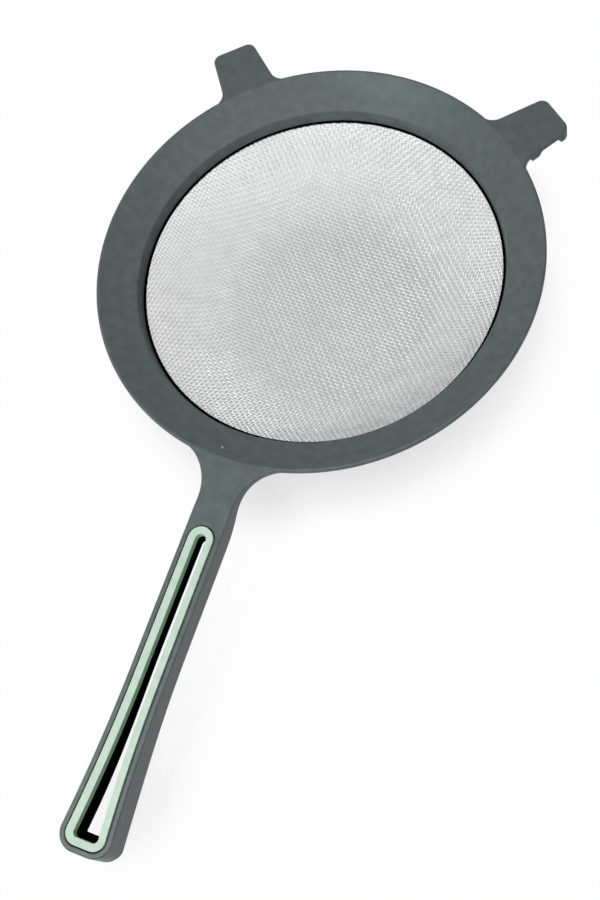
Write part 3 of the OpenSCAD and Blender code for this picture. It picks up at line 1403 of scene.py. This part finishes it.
@dataclass
class WireCloth:
    """Plain-woven wire cloth, pressed into a shallow bowl with a flat bottom and held flat at its hem.

    The spread is a polynomial in the square of the distance from the middle, as a share of spread_r.
    """

    wire_d: float = 0.52
    warp_pitch: float = 1.69
    weft_pitch: float = 1.61
    turn: float = -4.4
    flat_r: float = 34.8
    bend_r: float = 50.0
    slope: float = 50.0
    bottom_z: float = 0.53
    hem_z: float = 27.75
    hem_r: float = 84.0
    reach: float = 89.0
    spread_r: float = 84.0
    spread: Spot = (0.26, -0.448, 0.1525)
    wire_sides: int = 5
    crossing_steps: int = 2
    tree: WeaveTree = field(init=False)

    def __post_init__(self) -> None:
        """Builds the tree that both families of wires share."""
        self.tree = WeaveTree("wire_family")
        self.weave()

    def weave(self) -> None:
        """Fills the tree, which lays one family of wires over the bowl and has an input for each size."""
        tree = self.tree
        wires, samples = tree.size("Wires", "Int"), tree.size("Samples", "Int")
        pitch, cross_pitch = tree.size("Pitch"), tree.size("Cross Pitch")
        wire_r, turn, side = tree.size("Wire Radius"), tree.size("Turn"), tree.size("Side")
        finish = tree.size("Finish", "Material")
        grid = self.wire_lines(wires, samples, pitch, cross_pitch)
        spot = tree.node("ShaderNodeSeparateXYZ", tree.node("GeometryNodeInputPosition").outputs[0]).outputs
        across, along = spot[0], spot[1]
        squares = tree.math("MULTIPLY_ADD", across, across, tree.math("MULTIPLY", along, along))
        cloth_r = tree.math("SQRT", squares)
        ratio = self.spread_ratio(cloth_r)
        plan_r = tree.math("MULTIPLY", cloth_r, ratio)
        past = tree.math("GREATER_THAN", plan_r, self.hem_r * MM)
        points = {"domain": "POINT"}
        kept = tree.node("GeometryNodeDeleteGeometry", settings=points, Geometry=grid, Selection=past)
        lines = tree.node("GeometryNodeMeshToCurve", Mesh=kept.outputs[0])
        row, column = tree.math("DIVIDE", across, pitch), tree.math("DIVIDE", along, cross_pitch)
        wave = tree.math("COSINE", tree.math("MULTIPLY", tree.math("ADD", row, column), math.pi))
        lift = tree.math("MULTIPLY", tree.math("MULTIPLY", wave, wire_r), side)
        laid = self.bowl_place(across, along, ratio, plan_r, lift)
        about_z = {"rotation_type": "Z_AXIS"}
        turned = tree.node("ShaderNodeVectorRotate", settings=about_z, Vector=laid, Angle=turn)
        path = tree.node("GeometryNodeSetPosition", Geometry=lines.outputs[0], Position=turned.outputs[0])
        ring = tree.node("GeometryNodeCurvePrimitiveCircle", Resolution=self.wire_sides, Radius=wire_r)
        ends = {"Curve": path.outputs[0], "Profile_Curve": ring.outputs[0], "Fill_Caps": True}
        tubes = tree.node("GeometryNodeCurveToMesh", **ends)
        soft = tree.node("GeometryNodeSetShadeSmooth", Geometry=tubes.outputs[0])
        real = tree.node("GeometryNodeRealizeInstances", Geometry=soft.outputs[0])
        worn = tree.node("GeometryNodeSetMaterial", Geometry=real.outputs[0], Material=finish)
        tree.finish(worn.outputs[0])

    def wire_lines(self, wires: Socket, samples: Socket, pitch: Socket, cross_pitch: Socket) -> Socket:
        """Lays straight lines side by side along Y, centred on the origin.

        Args:
            wires: Number of wires.
            samples: Number of points on a wire.
            pitch: Distance between wires.
            cross_pitch: Distance between the wires that cross them.

        Returns:
            The lines as a mesh of edges.
        """
        tree = self.tree
        step = tree.math("MULTIPLY", cross_pitch, 1 / self.crossing_steps)
        line = self.centred_line(samples, step, 1)
        row = self.centred_line(wires, pitch, 0)
        copies = tree.node("GeometryNodeInstanceOnPoints", Points=row, Instance=line)
        return tree.node("GeometryNodeRealizeInstances", Geometry=copies.outputs[0]).outputs[0]

    def centred_line(self, count: Socket, step: Socket, axis: int) -> Socket:
        """Makes a line of evenly spaced points along an axis, centred on the origin.

        Args:
            count: Number of points.
            step: Distance between points.
            axis: 0 for X or 1 for Y.

        Returns:
            The line as a mesh.
        """
        tree = self.tree
        span = tree.math("MULTIPLY", step, tree.math("SUBTRACT", count, 1.0))
        before = [0.0] * axis
        start = tree.vector(*before, tree.math("MULTIPLY", span, -0.5))
        offset = tree.vector(*before, step)
        line = tree.node("GeometryNodeMeshLine", Count=count, Start_Location=start, Offset=offset)
        return line.outputs[0]

    def spread_ratio(self, cloth_r: Socket) -> Socket:
        """Gives how far the pressed cloth spreads or gathers in plan.

        Args:
            cloth_r: Distance from the middle in the flat cloth.

        Returns:
            The ratio of the distance in plan to that in the flat cloth.
        """
        tree = self.tree
        share = tree.math("POWER", tree.math("DIVIDE", cloth_r, self.spread_r * MM), 2.0)
        first, second, third = self.spread
        inner = tree.math("MULTIPLY_ADD", share, third, second)
        inner = tree.math("MULTIPLY_ADD", share, inner, first)
        return tree.math("MULTIPLY_ADD", share, inner, 1.0)

    def bowl_place(
        self, across: Socket, along: Socket, ratio: Socket, plan_r: Socket, lift: Socket
    ) -> Socket:
        """Puts a point of the flat cloth on the bowl, lifted along the bowl's normal.

        Args:
            across: Place of the point across the wires.
            along: Place of the point along the wires.
            ratio: Spread of the cloth in plan.
            plan_r: Distance from the axis in plan.
            lift: How far the wire's middle stands off the cloth's middle.

        Returns:
            The point's position.
        """
        tree = self.tree
        lean = math.radians(self.slope)
        bend = self.bend_r * MM
        run = tree.math("SUBTRACT", plan_r, self.flat_r * MM)
        bent = tree.math("MINIMUM", tree.math("MAXIMUM", run, 0.0), bend * math.sin(lean))
        rest = tree.math("MAXIMUM", tree.math("SUBTRACT", run, bend * math.sin(lean)), 0.0)
        root = tree.math("SQRT", tree.math("SUBTRACT", bend * bend, tree.math("MULTIPLY", bent, bent)))
        height = tree.math("SUBTRACT", bend + self.bottom_z * MM, root)
        height = tree.math("MULTIPLY_ADD", rest, math.tan(lean), height)
        height = tree.math("MINIMUM", height, self.hem_z * MM)
        sine = tree.math("DIVIDE", bent, bend)
        cosine = tree.math("DIVIDE", root, bend)
        slant = tree.math("MULTIPLY", lift, sine)
        inward = tree.math("DIVIDE", slant, tree.math("MAXIMUM", plan_r, MM))
        share = tree.math("SUBTRACT", ratio, tree.math("MULTIPLY", inward, ratio))
        return tree.vector(
            tree.math("MULTIPLY", across, share),
            tree.math("MULTIPLY", along, share),
            tree.math("MULTIPLY_ADD", lift, cosine, height),
        )

    def build(self, side: Side, steel: Material) -> Piece:
        """Makes one family of wires as a plain mesh.

        Args:
            side: Family of wires.
            steel: Finish of the wires.

        Returns:
            The wires.
        """
        warp = side is Side.WARP
        pitch, cross = (self.warp_pitch, self.weft_pitch) if warp else (self.weft_pitch, self.warp_pitch)
        wires = solid("wires", [], [])
        weave = wires.modifiers.new("weave", "NODES")
        weave.node_group = self.tree.tree
        values = {
            "Wires": 2 * int(self.reach / pitch) + 1,
            "Samples": 2 * self.crossing_steps * int(self.reach / cross) + 1,
            "Pitch": pitch * MM,
            "Cross Pitch": cross * MM,
            "Wire Radius": self.wire_d / 2 * MM,
            "Turn": math.radians(self.turn + (0 if warp else 90)),
            "Side": side.value,
            "Finish": steel,
        }
        for name, value in values.items():
            weave[self.tree.keys[name]] = value
        bake(wires)
        wires.data.transform(Matrix.Scale(1 / MM, 4))
        return wires


@dataclass(frozen=True)
class SoftLamp:
    """A square lamp that faces the part, with its direction in degrees and its size in metres."""

    name: str
    azimuth: float
    elevation: float
    size: float
    power: float
    colour: Tint

    def hang(self, heart: Vector, reach: float) -> None:
        """Hangs the lamp.

        Args:
            heart: Point that the lamp faces.
            reach: Its distance from there.
        """
        data = bpy.data.lights.new(self.name, "AREA")
        data.size = self.size
        data.energy = self.power
        data.color = self.colour
        made = linked(self.name, data)
        away = toward(self.azimuth, self.elevation)
        made.location = heart + away * reach
        made.rotation_euler = away.to_track_quat("Z", "Y").to_euler()


@dataclass
class Studio:
    """The pale floor, the soft lamps, the white surround and the camera, in metres.

    The shade's stops turn how open the floor is, from 0 to 1, into how bright it shows.
    """

    camera_at: Spot = (0.20193, -0.25478, 0.56029)
    azimuth: float = 46.19
    elevation: float = 64.83
    roll: float = -27.32
    lens: float = 55.37
    sensor_w: float = 36.0
    nearest: float = 0.01
    floor_z: float = -0.0003
    floor_half: float = 4.0
    floor_tone: tuple[int, int, int] = (205, 205, 205)
    floor_rough: float = 0.9
    floor_glow: float = 0.98
    shade_reach: float = 0.045
    shade_stops: tuple[Point, ...] = ((0.0, 0.05), (0.45, 0.6), (0.62, 0.78), (0.78, 1.0), (1.0, 1.0))
    ambient: float = 0.04
    heart: Spot = (0.0, -0.05, 0.03)
    lamp_reach: float = 0.95
    lamps: tuple[SoftLamp, ...] = (
        SoftLamp("key", 312, 66, 0.45, 1.6, (0.88, 1.0, 0.94)),
        SoftLamp("top", 325, 57, 0.28, 3.5, (0.82, 1.0, 0.9)),
        SoftLamp("front", 16, 44, 0.6, 3.1, (0.97, 1.0, 1.0)),
        SoftLamp("right", 85, 80, 0.5, 2.0, (1.0, 1.0, 1.0)),
    )

    def camera(self) -> None:
        """Makes the camera at the photograph's angle."""
        data = bpy.data.cameras.new("camera")
        data.lens = self.lens
        data.sensor_width = self.sensor_w
        data.clip_start = self.nearest
        back = toward(self.azimuth, self.elevation)
        right = Vector((0, 0, 1)).cross(back).normalized()
        up = back.cross(right)
        roll = math.radians(self.roll)
        across = right * math.cos(roll) + up * math.sin(roll)
        above = up * math.cos(roll) - right * math.sin(roll)
        turn = Matrix((across, above, back)).transposed().to_4x4()
        made = linked("camera", data)
        made.matrix_world = Matrix.Translation(self.camera_at) @ turn
        bpy.context.scene.camera = made

    def surround(self) -> None:
        """Makes the world, white where it is seen and a soft light elsewhere."""
        world = bpy.data.worlds.new("surround")
        world.use_nodes = True
        maker = NodeMaker(world.node_tree)
        seen = maker.tree.nodes["Background"]
        maker.fill(seen, Color=WHITE)
        light = maker.node("ShaderNodeBackground", Color=WHITE, Strength=self.ambient)
        both = maker.mix(maker.watched(), light.outputs[0], seen.outputs[0])
        maker.fill(maker.tree.nodes["World Output"], Surface=both)
        bpy.context.scene.world = world

    def floor_finish(self) -> Material:
        """Makes the floor's finish, pale where it is seen and shaded close under the part.

        Returns:
            The new material.
        """
        shader = Shader("pale_floor")
        shader.fill(shader.surface, Base_Color=srgb(*self.floor_tone), Roughness=self.floor_rough)
        shade = shader.node("ShaderNodeAmbientOcclusion", Distance=self.shade_reach)
        level = shader.node("ShaderNodeFloatCurve", Value=shade.outputs["AO"])
        curve = level.mapping.curves[0]
        first, *inner, last = self.shade_stops
        curve.points[0].location, curve.points[1].location = first, last
        for stop in inner:
            curve.points.new(*stop)
        for point in curve.points:
            point.handle_type = "VECTOR"
        level.mapping.update()
        glow = shader.node("ShaderNodeEmission", Strength=level.outputs["Value"])
        plain = shader.surface.outputs[0]
        seen = shader.mix(self.floor_glow, plain, glow.outputs[0])
        both = shader.mix(shader.watched(), plain, seen)
        shader.fill(shader.tree.nodes["Material Output"], Surface=both)
        return shader.material

    def floor(self) -> None:
        """Makes the plain floor, which keeps a faint shadow of the part."""
        half = self.floor_half
        corners = [(-half, -half), (half, -half), (half, half), (-half, half)]
        floor = solid("floor", [[(x, y, self.floor_z) for x, y in corners]], [[0, 1, 2, 3]])
        floor.data.materials.append(self.floor_finish())

    def build(self) -> None:
        """Makes the whole studio."""
        self.camera()
        for lamp in self.lamps:
            lamp.hang(Vector(self.heart), self.lamp_reach)
        self.surround()
        self.floor()
        bpy.context.scene.view_settings.view_transform = "Standard"


def main() -> None:
    """Builds the studio and the pieces in order."""
    logging.basicConfig(level=logging.INFO, format="%(name)s: %(message)s")
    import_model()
    Studio().build()
    # The dark finish is black painted shade for the slot, the groove and the lip's foot
    plastic, dark = FIR_PLASTIC.material(), PAINTED_SHADE_BLACK.material()
    rim = FunnelRing(radius=round(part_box("rim_frame")[1].x / MM))
    grip = Grip(rim)

    frame = FrameMoulding(rim, RestEar(rim), grip).build(plastic, dark, GATE_PALE.material())
    place(frame, "frame_moulding", ("rim_frame",))

    back = grip.back(plastic, dark)
    place(back, "back_cover", ("handle_back",))

    inlay = grip.inlay(MINT_RUBBER.material(), MINT_SHADED.material())
    place(inlay, "soft_inlay", ("handle_inlay",))

    clamp = ClampRing(rim).build(plastic)
    place(clamp, "hem_clamp", ("clamp_ring",))

    cloth = WireCloth()
    steel = BRIGHT_WIRE.material()
    for side in Side:
        wires = cloth.build(side, steel)
        place(wires, f"{side.name.lower()}_wires", ("mesh_bowl",))


if __name__ == "__main__":
    main()
